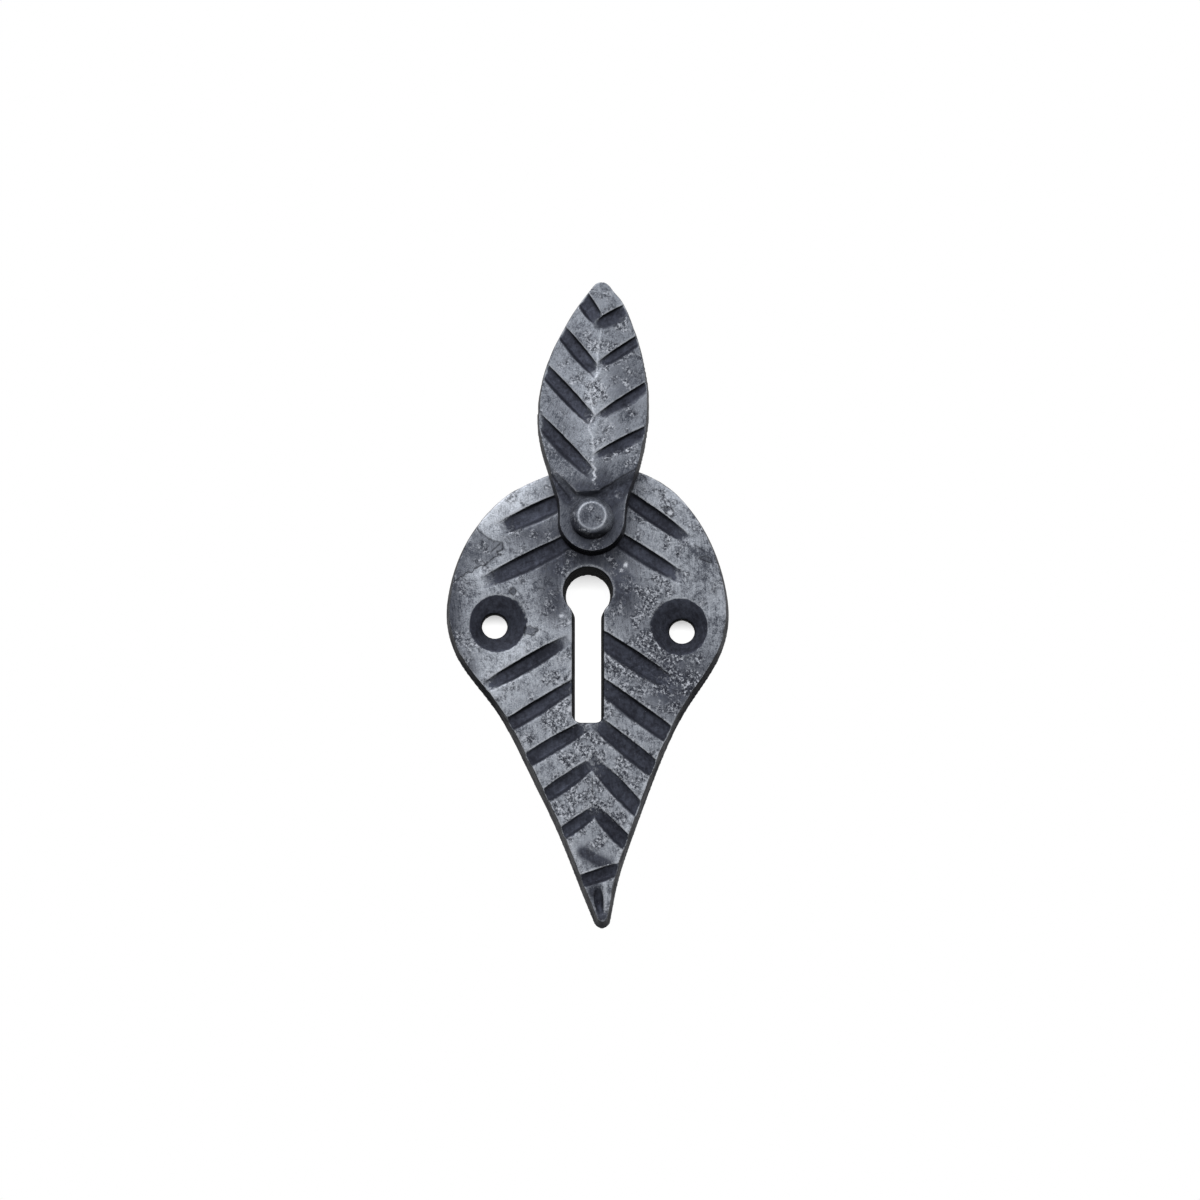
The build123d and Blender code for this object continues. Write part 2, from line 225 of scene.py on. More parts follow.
def forge_skin(piece, finish, **amounts):
    """Softens a piece's corners, hammers, pits and chips its skin, and marks how far each edge stands out."""
    tree = bpy.data.node_groups.get("forge_skin")
    if tree is None:
        tree = bpy.data.node_groups.new("forge_skin", "GeometryNodeTree")
        tree.interface.new_socket("Geometry", in_out="INPUT", socket_type="NodeSocketGeometry")
        names = ["Quad size"]
        for kind in ("Hammer", "Pit", "Chip", "Wobble"):
            names += [f"{kind} size", f"{kind} depth"]
        for name in (*names, "Seed"):
            tree.interface.new_socket(name, in_out="INPUT", socket_type="NodeSocketFloat")
        tree.interface.new_socket("Finish", in_out="INPUT", socket_type="NodeSocketMaterial")
        tree.interface.new_socket("Geometry", in_out="OUTPUT", socket_type="NodeSocketGeometry")
        given = tree.nodes.new("NodeGroupInput").outputs
        position = add(tree, "GeometryNodeInputPosition")
        normal = add(tree, "GeometryNodeInputNormal")
        place = add(tree, "ShaderNodeVectorMath", {0: position, "Scale": 1 / MM}, operation="SCALE")
        pitting, dent, rim = (
            add(tree, "GeometryNodeInputNamedAttribute", {"Name": mark}, data_type="FLOAT")
            for mark in ("pitting", "dent", "rim")
        )

        # The back stays flat, and side walls keep their place apart from the wobble of the outer rim
        forward = add(tree, "ShaderNodeSeparateXYZ", {0: place}, out=1)
        front = add(tree, "ShaderNodeMapRange", {"Value": forward, "From Min": -0.3, "From Max": -1.2})
        facing = add(tree, "ShaderNodeSeparateXYZ", {0: normal}, out=1)
        facing = add(tree, "ShaderNodeMapRange", {"Value": facing, "From Min": -0.15, "From Max": -0.5})
        facing = add(tree, "ShaderNodeMath", {0: front, 1: facing}, operation="MULTIPLY")

        # How far a point stands out of the skin around it, in quads
        around = {"Value": position, "Iterations": 3}
        around = add(tree, "GeometryNodeBlurAttribute", around, data_type="FLOAT_VECTOR")
        stands = add(tree, "ShaderNodeVectorMath", {0: position, 1: around}, operation="SUBTRACT")
        stands = add(tree, "ShaderNodeVectorMath", {0: stands, 1: normal}, operation="DOT_PRODUCT")
        edge = add(tree, "ShaderNodeMath", {0: stands, 1: 1 / MM}, operation="MULTIPLY")
        edge = add(tree, "ShaderNodeMath", {0: edge, 1: given["Quad size"]}, operation="DIVIDE")
        edge = add(tree, "ShaderNodeMath", {0: edge, 1: front}, operation="MULTIPLY")
        marked = {"Geometry": given["Geometry"], "Name": "edge", "Value": edge}
        marked = add(tree, "GeometryNodeStoreNamedAttribute", marked, data_type="FLOAT", domain="POINT")

        # Shallow hammer blows, chips along the edges and the wobble of a hand-cut rim
        exposed = add(tree, "ShaderNodeMapRange", {"Value": edge, "From Min": 0.1, "From Max": 0.6})
        depth = dent
        for kind, share, low, high in (
            ("Hammer", facing, 0.3, 0.7),
            ("Chip", exposed, 0.48, 0.72),
            ("Wobble", rim, 0.35, 0.75),
        ):
            scale = add(tree, "ShaderNodeMath", {0: 1.0, 1: given[f"{kind} size"]}, operation="DIVIDE")
            blows = {"Vector": place, "W": given["Seed"], "Scale": scale, "Detail": 1.5}
            blows = add(tree, "ShaderNodeTexNoise", blows, noise_dimensions="4D")
            blows = {"Value": blows, "From Min": low, "From Max": high}
            blows = add(tree, "ShaderNodeMapRange", blows, interpolation_type="SMOOTHSTEP")
            blows = add(tree, "ShaderNodeMath", {0: blows, 1: share}, operation="MULTIPLY")
            depth = {0: blows, 1: given[f"{kind} depth"], 2: depth}
            depth = add(tree, "ShaderNodeMath", depth, operation="MULTIPLY_ADD")

        # Round pits where the scale was beaten in
        scale = add(tree, "ShaderNodeMath", {0: 1.0, 1: given["Pit size"]}, operation="DIVIDE")
        cells = {"Vector": place, "W": given["Seed"], "Scale": scale}
        bowl = add(tree, "ShaderNodeTexVoronoi", cells, voronoi_dimensions="4D")
        chance = add(tree, "ShaderNodeSeparateXYZ", {0: bowl.node.outputs["Color"]})
        chance = add(tree, "ShaderNodeMath", {0: chance, 1: pitting}, operation="LESS_THAN")
        bowl = {"Value": bowl, "From Min": 0.05, "From Max": 0.5, "To Min": 1.0, "To Max": 0.0}
        bowl = add(tree, "ShaderNodeMapRange", bowl, interpolation_type="SMOOTHSTEP")
        bowl = add(tree, "ShaderNodeMath", {0: bowl, 1: chance}, operation="MULTIPLY")
        bowl = add(tree, "ShaderNodeMath", {0: bowl, 1: facing}, operation="MULTIPLY")
        depth = {0: bowl, 1: given["Pit depth"], 2: depth}
        depth = add(tree, "ShaderNodeMath", depth, operation="MULTIPLY_ADD")

        depth = add(tree, "ShaderNodeMath", {0: depth, 1: front}, operation="MULTIPLY")
        depth = add(tree, "ShaderNodeMath", {0: depth, 1: -MM}, operation="MULTIPLY")
        offset = add(tree, "ShaderNodeVectorMath", {0: normal, "Scale": depth}, operation="SCALE")
        soft = {"Value": position, "Iterations": 1}
        soft = add(tree, "GeometryNodeBlurAttribute", soft, data_type="FLOAT_VECTOR")
        soft = add(tree, "ShaderNodeMix", {"Factor": front, "A": position, "B": soft}, data_type="VECTOR")
        moved = {"Geometry": marked, "Position": soft, "Offset": offset}
        moved = add(tree, "GeometryNodeSetPosition", moved)
        moved = add(tree, "GeometryNodeSetShadeSmooth", {"Geometry": moved, "Shade Smooth": True})
        moved = add(tree, "GeometryNodeRealizeInstances", {"Geometry": moved})
        moved = add(tree, "GeometryNodeSetMaterial", {"Geometry": moved, "Material": given["Finish"]})
        add(tree, "NodeGroupOutput", {"Geometry": moved})
    modifier = piece.modifiers.new("forge_skin", "NODES")
    modifier.node_group = tree
    named = {item.name: item.identifier for item in tree.interface.items_tree if item.in_out == "INPUT"}
    for name, value in amounts.items():
        modifier[named[name.replace("_", " ").capitalize()]] = value
    modifier[named["Finish"]] = finish
    plain_mesh(piece)


def waxed_steel(name, tones, lean, fine):
    """Mild steel, forged, blackened, waxed and rubbed back with wire wool.

    It gives the eye a blue-black skin in every hollow, cloudy pewter grey with fine strokes on what stands
    up, dark pits in a pale net where scale was beaten in, and thin bright lines on worn corners. It also has
    painted shade, black under upper edges, in creases and on hole walls, and painted highlights where they
    are marked. The strokes lean to the right by some degrees, and a finer finish has smaller strokes and
    grit.
    """
    material = bpy.data.materials.new(name)
    material.use_nodes = True
    steel = material.node_tree
    steel.nodes.clear()
    tone_of = {key: linear(code) for key, code in tones.items()}
    place = add(steel, "ShaderNodeTexCoord", out=3)
    place = add(steel, "ShaderNodeVectorMath", {0: place, "Scale": 1 / MM}, operation="SCALE")
    marks = ("sunk", "tilt", "facing", "edge", "soot", "pitting", "flake", "crack", "shine")
    deep, tilt, facing, edge, soot, pitting, flake, crack, shine = (
        add(steel, "ShaderNodeAttribute", out=2, attribute_name=mark) for mark in marks
    )

    # Patterns, by how many of their spots lie on a millimetre
    along = {"Vector": place, "Rotation": (0, radians(lean), 0), "Scale": (1, 1, 6)}
    along = add(steel, "ShaderNodeMapping", along, vector_type="TEXTURE")
    cloud, patch, mottle, strokes, grit, clump = (
        add(
            steel,
            "ShaderNodeTexNoise",
            {"Vector": vector, "Scale": per_mm, "Detail": detail, "Roughness": rough},
        )
        for vector, per_mm, detail, rough in (
            (place, 0.2, 2.0, 0.5),
            (place, 0.55, 3.0, 0.55),
            (place, 1.3 * fine, 3.0, 0.6),
            (along, 3.6 * fine, 2.0, 0.6),
            (place, 4.8 * fine, 2.0, 0.65),
            (place, 0.42, 2.0, 0.5),
        )
    )

    # Rubbed steel: broad clouds, mottle, strokes and grit, brightened further where wear and painted
    # highlights are marked
    tone = 0.0
    for pattern, weight in (
        (cloud, 0.9),
        (patch, 0.7),
        (mottle, 0.8),
        (strokes, 0.5),
        (grit, 1.0),
        (shine, 1.2),
    ):
        tone = add(steel, "ShaderNodeMath", {0: pattern, 1: weight, 2: tone}, operation="MULTIPLY_ADD")
    rubbed_and_highlit = add(steel, "ShaderNodeMapRange", {"Value": tone, "From Min": 1.69, "From Max": 2.4})

    # Round pits and dark speckle in a paler net, in clumps
    warp = add(steel, "ShaderNodeTexNoise", {"Vector": place, "Scale": 2.0, "Detail": 2.0}, out=1)
    warp = {0: warp, 1: (0.6, 0.6, 0.6), 2: place}
    warp = add(steel, "ShaderNodeVectorMath", warp, operation="MULTIPLY_ADD")
    clump = {"Value": clump, "From Min": 0.35, "From Max": 0.65, "To Min": -0.55, "To Max": 0.55}
    clump = add(steel, "ShaderNodeMapRange", clump)
    clump = add(steel, "ShaderNodeMath", {0: clump, 1: pitting}, operation="ADD")
    cells = add(steel, "ShaderNodeTexVoronoi", {"Vector": warp, "Scale": 1.3})
    chance = add(steel, "ShaderNodeSeparateXYZ", {0: cells.node.outputs["Color"]})
    there = {0: clump, 1: 0.5, 2: -0.02}
    there = add(steel, "ShaderNodeMath", there, operation="MULTIPLY_ADD")
    there = add(steel, "ShaderNodeMath", {0: there, 1: chance}, operation="SUBTRACT")
    there = add(steel, "ShaderNodeMapRange", {"Value": there, "From Min": -0.06, "From Max": 0.2})
    bowl = {"Value": cells, "From Min": 0.12, "From Max": 0.45, "To Min": 0.85, "To Max": 0.0}
    bowl = add(steel, "ShaderNodeMapRange", bowl)
    bowl = add(steel, "ShaderNodeMath", {0: bowl, 1: there}, operation="MULTIPLY")
    rough = add(steel, "ShaderNodeMapRange", {"Value": clump, "From Min": 0.1, "From Max": 0.7})
    speckle = {"Vector": warp, "Scale": 2.3, "Detail": 4.0, "Roughness": 0.75}
    speckle = add(steel, "ShaderNodeTexNoise", speckle)
    holes = {"Value": speckle, "From Min": 0.51, "From Max": 0.41, "To Max": 0.95}
    holes = add(steel, "ShaderNodeMapRange", holes)
    holes = add(steel, "ShaderNodeMath", {0: holes, 1: rough}, operation="MULTIPLY")
    pit = add(steel, "ShaderNodeMath", {0: bowl, 1: holes}, operation="MAXIMUM")
    net = {"Value": speckle, "From Min": 0.51, "From Max": 0.62, "To Max": 0.95}
    net = add(steel, "ShaderNodeMapRange", net)
    net = add(steel, "ShaderNodeMath", {0: net, 1: rough}, operation="MULTIPLY")
    dim = add(steel, "ShaderNodeMath", {0: rough, 1: 0.35}, operation="MULTIPLY")

    # Flakes of mill scale, a little darker, with a thin broken dark line round them; the same dark line is
    # painted shade along the cover's step edges
    ragged = {0: mottle, 1: 0.9, 2: flake}
    ragged = add(steel, "ShaderNodeMath", ragged, operation="MULTIPLY_ADD")
    ragged = add(steel, "ShaderNodeMath", {0: ragged, 1: 0.45}, operation="SUBTRACT")
    scale = {"Value": ragged, "From Min": -0.05, "From Max": 0.05, "To Max": 0.6}
    scale = add(steel, "ShaderNodeMapRange", scale)
    line = add(steel, "ShaderNodeMath", {0: ragged}, operation="ABSOLUTE")
    line = add(steel, "ShaderNodeMath", {0: line, 1: crack}, operation="MINIMUM")
    line = {0: grit, 1: -0.5, 2: line}
    line = add(steel, "ShaderNodeMath", line, operation="MULTIPLY_ADD")
    line = {"Value": line, "From Min": -0.18, "From Max": -0.08, "To Min": 0.65, "To Max": 0.0}
    line = add(steel, "ShaderNodeMapRange", line)

    # Black wax in hollows, on the back, and where it was rubbed least; the soot mark also holds painted
    # shadow and painted shade. Painted shade goes under each upper edge, in creases, on faces turned down or
    # up in hollows, on hole walls, and with the wax on side walls
    wax = 0.0
    for pattern, weight in ((mottle, 1.2), (strokes, 0.4), (cloud, 0.8)):
        wax = add(steel, "ShaderNodeMath", {0: pattern, 1: weight, 2: wax}, operation="MULTIPLY_ADD")
    wax = add(steel, "ShaderNodeMapRange", {"Value": wax, "From Min": 0.95, "From Max": 1.5})
    wax = {"Factor": wax, "A": tone_of["wax_dark"], "B": tone_of["wax_light"]}
    wax = add(steel, "ShaderNodeMix", wax, data_type="RGBA")
    hollow = 0.0
    for pattern, weight in ((deep, 2.0), (mottle, 2.2), (grit, 0.8)):
        hollow = add(steel, "ShaderNodeMath", {0: pattern, 1: weight, 2: hollow}, operation="MULTIPLY_ADD")
    hollow = add(steel, "ShaderNodeMapRange", {"Value": hollow, "From Min": 1.62, "From Max": 2.3})
    near = add(steel, "ShaderNodeMapRange", {"Value": deep, "From Max": 0.08})
    hollow = add(steel, "ShaderNodeMath", {0: hollow, 1: near}, operation="MULTIPLY")
    sooty = soot
    for pattern, weight in ((cloud, 0.8), (patch, 1.0), (mottle, 0.8), (grit, 0.5)):
        sooty = add(steel, "ShaderNodeMath", {0: pattern, 1: weight, 2: sooty}, operation="MULTIPLY_ADD")
    sooty = {"Value": sooty, "From Min": 1.65, "From Max": 2.5, "To Max": 0.94}
    sooty = add(steel, "ShaderNodeMapRange", sooty)
    # Painted shade: faces turned down in hollows, and hole walls, are painted black
    shade = {"Value": tilt, "From Min": 0.3, "From Max": 0.75, "To Max": 0.9}
    shade = add(steel, "ShaderNodeMapRange", shade)
    # Painted shade: faces turned up in hollows are painted darker than the light leaves them
    lip_shade = {"Value": tilt, "From Min": -0.08, "From Max": -0.3, "To Max": 0.35}
    lip_shade = add(steel, "ShaderNodeMapRange", lip_shade)
    # Painted shade: black along concave edges under the upper edges
    crease_shade = {"Value": edge, "From Min": -0.12, "From Max": -0.5, "To Max": 0.7}
    crease_shade = add(steel, "ShaderNodeMapRange", crease_shade)
    below = add(steel, "ShaderNodeMapRange", {"Value": tilt, "From Min": -0.05, "From Max": 0.1})
    crease_shade = add(steel, "ShaderNodeMath", {0: crease_shade, 1: below}, operation="MULTIPLY")
    # Side walls take a dark tone: black wax, and painted shade beyond it
    side = {"Value": facing, "From Min": 0.55, "From Max": 0.3, "To Max": 0.85}
    side = add(steel, "ShaderNodeMapRange", side)
    back = {"Value": facing, "From Min": -0.5, "From Max": -0.8, "To Max": 0.85}
    back = add(steel, "ShaderNodeMapRange", back)

    # Corners that hands and wire wool reach first are worn bright, and grit, wear and painted highlights give
    # bright flecks
    worn = edge
    for pattern, weight in ((patch, 0.9), (grit, 0.6), (shine, 0.4)):
        worn = add(steel, "ShaderNodeMath", {0: pattern, 1: weight, 2: worn}, operation="MULTIPLY_ADD")
    worn = {"Value": worn, "From Min": 0.92, "From Max": 1.2, "To Max": 0.75}
    worn = add(steel, "ShaderNodeMapRange", worn)
    high = {"Value": deep, "From Min": 0.05, "From Max": 0.2, "To Min": 1.0, "To Max": 0.0}
    high = add(steel, "ShaderNodeMapRange", high)
    worn = add(steel, "ShaderNodeMath", {0: worn, 1: high}, operation="MULTIPLY")
    clean = add(steel, "ShaderNodeMapRange", {"Value": sooty, "To Min": 1.0, "To Max": 0.35})
    worn = add(steel, "ShaderNodeMath", {0: worn, 1: clean}, operation="MULTIPLY")
    ahead = add(steel, "ShaderNodeMapRange", {"Value": facing, "From Min": 0.35, "From Max": 0.6})
    worn = add(steel, "ShaderNodeMath", {0: worn, 1: ahead}, operation="MULTIPLY")
    bright = {0: grit, 1: 1.4, 2: shine}
    bright = add(steel, "ShaderNodeMath", bright, operation="MULTIPLY_ADD")
    bright = add(steel, "ShaderNodeMapRange", {"Value": bright, "From Min": 1.0, "From Max": 1.35})

    colour = tone_of["bare_dark"]
    for share, over in (
        (rubbed_and_highlit, tone_of["bare_light"]),
        (scale, tone_of["scale"]),
        (sooty, wax),
        (dim, tone_of["scale"]),
        (net, tone_of["bright"]),
        (pit, tone_of["wax_dark"]),
        (hollow, wax),
        (lip_shade, tone_of["wax_dark"]),
        (side, tone_of["wall"]),
        (back, wax),
        (crease_shade, tone_of["black"]),
        (shade, tone_of["black"]),
        (line, tone_of["black"]),
        (worn, tone_of["bright"]),
        (bright, tone_of["bright"]),
    ):
        colour = add(steel, "ShaderNodeMix", {"Factor": share, "A": colour, "B": over}, data_type="RGBA")

    roughness = add(steel, "ShaderNodeMapRange", {"Value": tone, "From Min": 1.65, "From Max": 2.25})
    roughness = {"Value": roughness, "To Min": 0.6, "To Max": 0.44}
    roughness = add(steel, "ShaderNodeMapRange", roughness)
    height = 0.0
    for pattern, rise in (
        (pit, -0.08),
        (line, -0.06),
        (grit, 0.09),
        (mottle, 0.08),
        (strokes, 0.03),
        (scale, 0.08),
    ):
        height = add(steel, "ShaderNodeMath", {0: pattern, 1: rise, 2: height}, operation="MULTIPLY_ADD")
    normal = add(steel, "ShaderNodeBump", {"Height": height, "Strength": 0.7, "Distance": MM})
    # Painted shade also tints the reflection black where the shade is painted
    shade_specular_tint = {"Factor": shade, "A": (1, 1, 1, 1), "B": tone_of["black"]}
    shade_specular_tint = add(steel, "ShaderNodeMix", shade_specular_tint, data_type="RGBA")
    wanted = {
        "Base Color": colour,
        "Metallic": 0.8,
        "Roughness": roughness,
        "Specular Tint": shade_specular_tint,
        "Normal": normal,
    }
    shader = add(steel, "ShaderNodeBsdfPrincipled", wanted)
    add(steel, "ShaderNodeOutputMaterial", {"Surface": shader})
    return material


def triangles(piece):
    """How many triangles a piece has."""
    return sum(len(face.vertices) - 2 for face in piece.data.polygons)


plate_quad = 0.21
screw_places = [(-15.4, -5.3), (15.5, -6.2)]
screw_reach = 5.5
screw_wax = 5
screw_shade = 0.35
keyhole_side, keyhole_head, keyhole_foot = 6, 8, -24
tip_head = -48
no_flake = -3.0
no_crack = 9.0
plate = forged_copy("back_plate", plate_quad)
thin_back(plate, (screw_places[0][0], 0.0, screw_places[1][0]))
plate_places = points_of(plate)
plate_facing = facing_of(plate)
plate_depth, plate_brow = sunk(plate, pitch=0.16, reach=5.0, run=0.2)
plate_front = plate_facing[:, 1] < -0.4
plate_wall = np.abs(plate_facing[:, 1]) < 0.6
in_keyhole = np.abs(plate_places[:, 0]) <= keyhole_side
in_keyhole &= (plate_places[:, 2] <= keyhole_head) & (plate_places[:, 2] >= keyhole_foot)
plate_rim = plate_wall & ~in_keyhole
for across, up in screw_places:
    around_screw = np.hypot(plate_places[:, 0] - across, plate_places[:, 2] - up) < screw_reach
    plate_depth[around_screw] *= screw_wax
    plate_facing[around_screw, 2] *= screw_shade
    plate_rim &= ~around_screw
# Painted shade: faces turned down in hollows are painted black and faces turned up darker, weaker in the
# countersinks and on the lower leaf
plate_tilt = -plate_facing[:, 2] * np.clip(plate_depth / 0.1, 0, 1)
plate_tilt *= np.interp(plate_places[:, 2], (-27, -20), (0.5, 1.0))
plate_flakes = [
    [
        (-24.0, 1.2), (-21.95, 2.05), (-20.65, 2.8), (-19.75, 3.5), (-19.2, 3.3), (-18.4, 4.1),
        (-17.65, 4.65), (-17.1, 4.4), (-16.6, 4.8), (-15.6, 5.75), (-14.45, 6.3), (-14.95, 6.65),
        (-13.95, 7.25), (-14.2, 8.25), (-15.45, 8.55), (-16.6, 9.15), (-17.4, 9.9), (-17.97, 10.4),
        (-20.0, 13.0), (-26.0, 12.0),
    ],
    [(-13.15, 0.0), (-12.34, 0.7), (-11.7, 0.1), (-12.34, -0.65), (-12.9, -0.3)],
    [(-10.46, -6.0), (-9.57, -5.85), (-8.27, -6.6), (-9.08, -7.6), (-10.07, -7.1), (-10.56, -7.8)],
    [(18.3, 5.8), (19.4, 6.2), (20.2, 5.75), (20.5, 5.05), (19.4, 5.2)],
    [(12.1, 14.2), (13.3, 14.4), (14.1, 13.8), (14.2, 12.9), (13.6, 12.7), (12.9, 13.3)],
]
plate_cracks = [
    [(0.66, -31.2), (0.83, -35.1)],
    [(-12.3, -24.4), (-11.05, -26.0)],
    [(-8.25, 0.4), (-7.4, 0.45)],
    [(-16.0, 6.8), (-14.5, 8.15)],
    [(17.6, 8.0), (19.2, 6.9)],
    [(-13.2, 9.1), (-12.9, 8.7)],
]
# Soot spots, which also paint the cover's shadow round the hub and painted shade down the left edge
plate_soot = [
    (0.5, 11.5, 10.0, 7.5, 0.75),
    (0.3, 5.5, 7.5, 3.2, 0.5),
    (5.5, -0.5, 3.5, 4.0, 1.0),
    (-6.0, 3.5, 4.0, 3.0, 0.5),
    (-5.6, -2.0, 2.6, 3.5, 0.85),
    (-22.8, -3.0, 2.4, 12.0, 0.9),
    (-14.0, 13.0, 7.0, 6.0, -0.2),
    (-13.0, -13.0, 6.0, 5.0, -0.2),
    (-19.3, -13.0, 1.8, 3.0, 0.7),
    (20.0, -12.0, 2.0, 4.0, 0.25),
    (14.0, -16.0, 5.5, 6.0, 0.95),
    (11.0, -8.0, 6.0, 5.0, 0.4),
    (1.3, -50.3, 1.3, 1.0, 0.9),
    (1.7, -52.5, 0.8, 2.0, 0.8),
    (0.7, -51.0, 0.8, 1.8, 0.5),
    (2.2, -54.8, 2.0, 1.3, 1.1),
    (-5.0, -9.0, 2.5, 5.0, 0.15),
    (1.5, -23.5, 4.0, 2.5, 0.35),
    (0.0, -34.0, 9.0, 14.0, 0.25),
    (-10.5, 10.0, 5.0, 2.5, 0.6),
    (-9.0, -18.5, 3.5, 3.5, 0.35),
    (18.2, 2.4, 0.5, 0.6, 0.6),
    (21.5, 4.0, 0.5, 0.7, 0.6),
    (-12.8, 6.9, 0.35, 0.5, 0.7),
]
plate_pitting = [
    (10.0, -8.5, 4.5, 4.5, 0.7),
    (11.5, 0.2, 2.8, 2.6, 0.7),
    (14.0, -15.0, 5.0, 6.0, 0.8),
    (7.0, -14.0, 4.0, 4.0, 0.6),
    (16.0, 9.0, 4.0, 5.0, 0.3),
    (1.0, -32.0, 8.0, 14.0, 0.8),
    (-4.5, -19.5, 2.5, 3.0, 0.7),
    (-6.0, -14.0, 4.0, 2.5, 0.3),
]
# Small worn chips, and broad painted highlights, most of them on the leaf's upper slopes
plate_shine = [
    (6.2, 4.4, 0.4, 0.4, 0.9),
    (-4.4, -4.2, 0.35, 0.25, 0.8),
    (13.6, 13.35, 0.35, 0.3, 0.9),
    (-3.0, -20.0, 0.5, 0.4, 0.9),
    (5.5, 3.5, 0.4, 0.4, 0.6),
    (-14.5, 14.5, 6.0, 4.5, 0.32),
    (-14.0, -13.0, 7.0, 6.0, 0.16),
    (-18.3, 3.6, 2.5, 2.5, 0.14),
    (-8.0, -7.0, 3.0, 3.0, 0.12),
    (12.5, 12.0, 5.0, 6.0, 0.16),
    (0.0, -32.0, 10.0, 16.0, 0.1),
]
keyhole_radius = 4.35
from_keyhole = np.hypot(plate_places[:, 0], plate_places[:, 2])
keyhole_chips = 0.24 * np.exp(-(((from_keyhole - keyhole_radius) / 0.25) ** 2)) * (plate_places[:, 2] > -1)
tip_flank = [(2.8, -49.0), (2.8, -54.0)]
# Wear and painted highlights together: chips, brows and spots
plate_wear_and_highlight = spread(plate, 0.01, plate_shine) + keyhole_chips
plate_wear_and_highlight += 0.3 * plate_brow * (plate_places[:, 2] > tip_head)
plate_wear_and_highlight += 0.25 * np.exp(-((off_path(plate, tip_flank) / 0.3) ** 2))
# Painted highlight: a thin bright rim just inside the lower leaf's edges
leaf_edges = [
    [(-9.2, -29.9), (-6.1, -37.2), (-2.9, -43.0), (-0.5, -47.5)],
    [(14.3, -22.6), (11.5, -28.0), (8.7, -34.6), (6.95, -38.5), (4.65, -45.9)],
]
for leaf_edge in leaf_edges:
    plate_wear_and_highlight += 0.25 * np.exp(-((off_path(plate, leaf_edge) / 0.45) ** 2))
plate_wear_and_highlight *= (plate_depth < 0.3) * np.clip(-4 * plate_facing[:, 1] - 1, 0, 1)
chevron = [(-0.6, -44.0), (2.6, -45.9), (4.6, -46.7)]
chevron_soot = 1.3 * np.exp(-((off_path(plate, chevron) / 1.05) ** 2))
flake_depths = [inside(plate, outline) for outline in plate_flakes]
plate_dark_flakes = sum(np.clip(depth / 0.2, 0, 1) for depth in flake_depths[1:])
store(
    plate,
    sunk=plate_depth,
    # Painted shade: the walls of the keyhole and screw holes are painted black
    tilt=np.where(plate_wall & ~plate_rim, 1.0, plate_tilt),
    facing=-plate_facing[:, 1],
    rim=plate_rim,
    dent=spread(plate, 0.0, [(21.6, -11.9, 0.6, 0.5, 0.4)]),
    soot=spread(plate, 0.0, plate_soot) + 0.5 * plate_dark_flakes + chevron_soot,
    pitting=spread(plate, 0.0, plate_pitting),
    flake=np.where(plate_front, np.clip(np.max(flake_depths, axis=0), no_flake, -no_flake), no_flake),
    crack=np.where(plate_front, np.min([off_path(plate, path) for path in plate_cracks], axis=0), no_crack),
    shine=plate_wear_and_highlight,
)
steel_tones = {
    "bare_dark": "#4b4f59",
    "bare_light": "#c9cfd9",
    "bright": "#ccd0d9",
    "scale": "#50545e",
    "black": "#111216",
    "wax_dark": "#2a2c36",
    "wax_light": "#474b58",
    "wall": "#26262a",
}
plate_steel = waxed_steel("waxed_forged_steel", steel_tones, -6, 1.0)
forge_skin(
    plate,
    plate_steel,
    quad_size=plate_quad,
    hammer_size=5.0,
    hammer_depth=0.09,
    pit_size=1.1,
    pit_depth=0.04,
    chip_size=1.6,
    chip_depth=0.12,
    wobble_size=3.0,
    wobble_depth=0.22,
    seed=3.0,
)
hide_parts("back_plate")
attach(plate, "plate")

# Swing cover
# A smaller leaf of the same steel, forged with a ridge down its middle and thinned to an eye at its foot,
# which turns on the rivet. It is finer and rubbed brighter than the plate, from hands that swing it.
cover_quad = 0.15
cover = forged_copy("swing_cover", cover_quad)
cover_facing = facing_of(cover)
cover_depth, cover_brow = sunk(cover, pitch=0.14, reach=3.0, run=0.3)
# Painted highlight and wear: a thin bright line down the cover's ridge
midrib = [
    (2.5, 45.9), (1.6, 39.9), (1.5, 35.7), (0.3, 34.1), (0.4, 31.9), (1.0, 28.9), (0.0, 26.8), (0.8, 25.1),
    (0.9, 22.1), (0.6, 20.6), (1.25, 19.7), (0.9, 19.0), (1.3, 18.2), (0.8, 17.8), (1.2, 17.0),
]
cover_soot = [
    (1.4, 10.5, 7.5, 7.5, 0.95),
    (2.6, 18.4, 1.6, 2.4, 0.5),
    (-0.8, 16.8, 2.5, 1.2, 0.4),
    (5.5, 33.0, 3.0, 9.0, 0.3),
    (6.0, 36.5, 3.0, 4.0, 0.2),
    (-4.4, 29.5, 3.0, 5.0, 0.25),
]
cover_pitting = [(3.0, 36.0, 3.0, 4.0, 0.35), (3.0, 24.0, 3.0, 2.0, 0.3), (1.0, 13.0, 7.0, 5.5, -0.5)]
cover_shine = 0.26 + spread(cover, 0.0, [(0.9, 18.8, 1.0, 1.4, 0.35)])
cover_shine *= np.exp(-((off_path(cover, midrib) / 0.17) ** 2))
# Painted highlight along the hub's right rim
hub_rim = [(6.5, 15.5), (6.1, 12.5), (6.0, 10.2)]
cover_shine += 0.35 * np.exp(-((off_path(cover, hub_rim) / 0.25) ** 2))
# A broad brightening down the blade's middle, painted highlight and rubbing, and the worn brows
cover_shine += spread(cover, 0.0, [(1.2, 31.0, 3.6, 10.0, 0.24)]) + 0.25 * cover_brow
cover_shine *= (cover_depth < 0.3) * np.clip(-4 * cover_facing[:, 1] - 1, 0, 1)
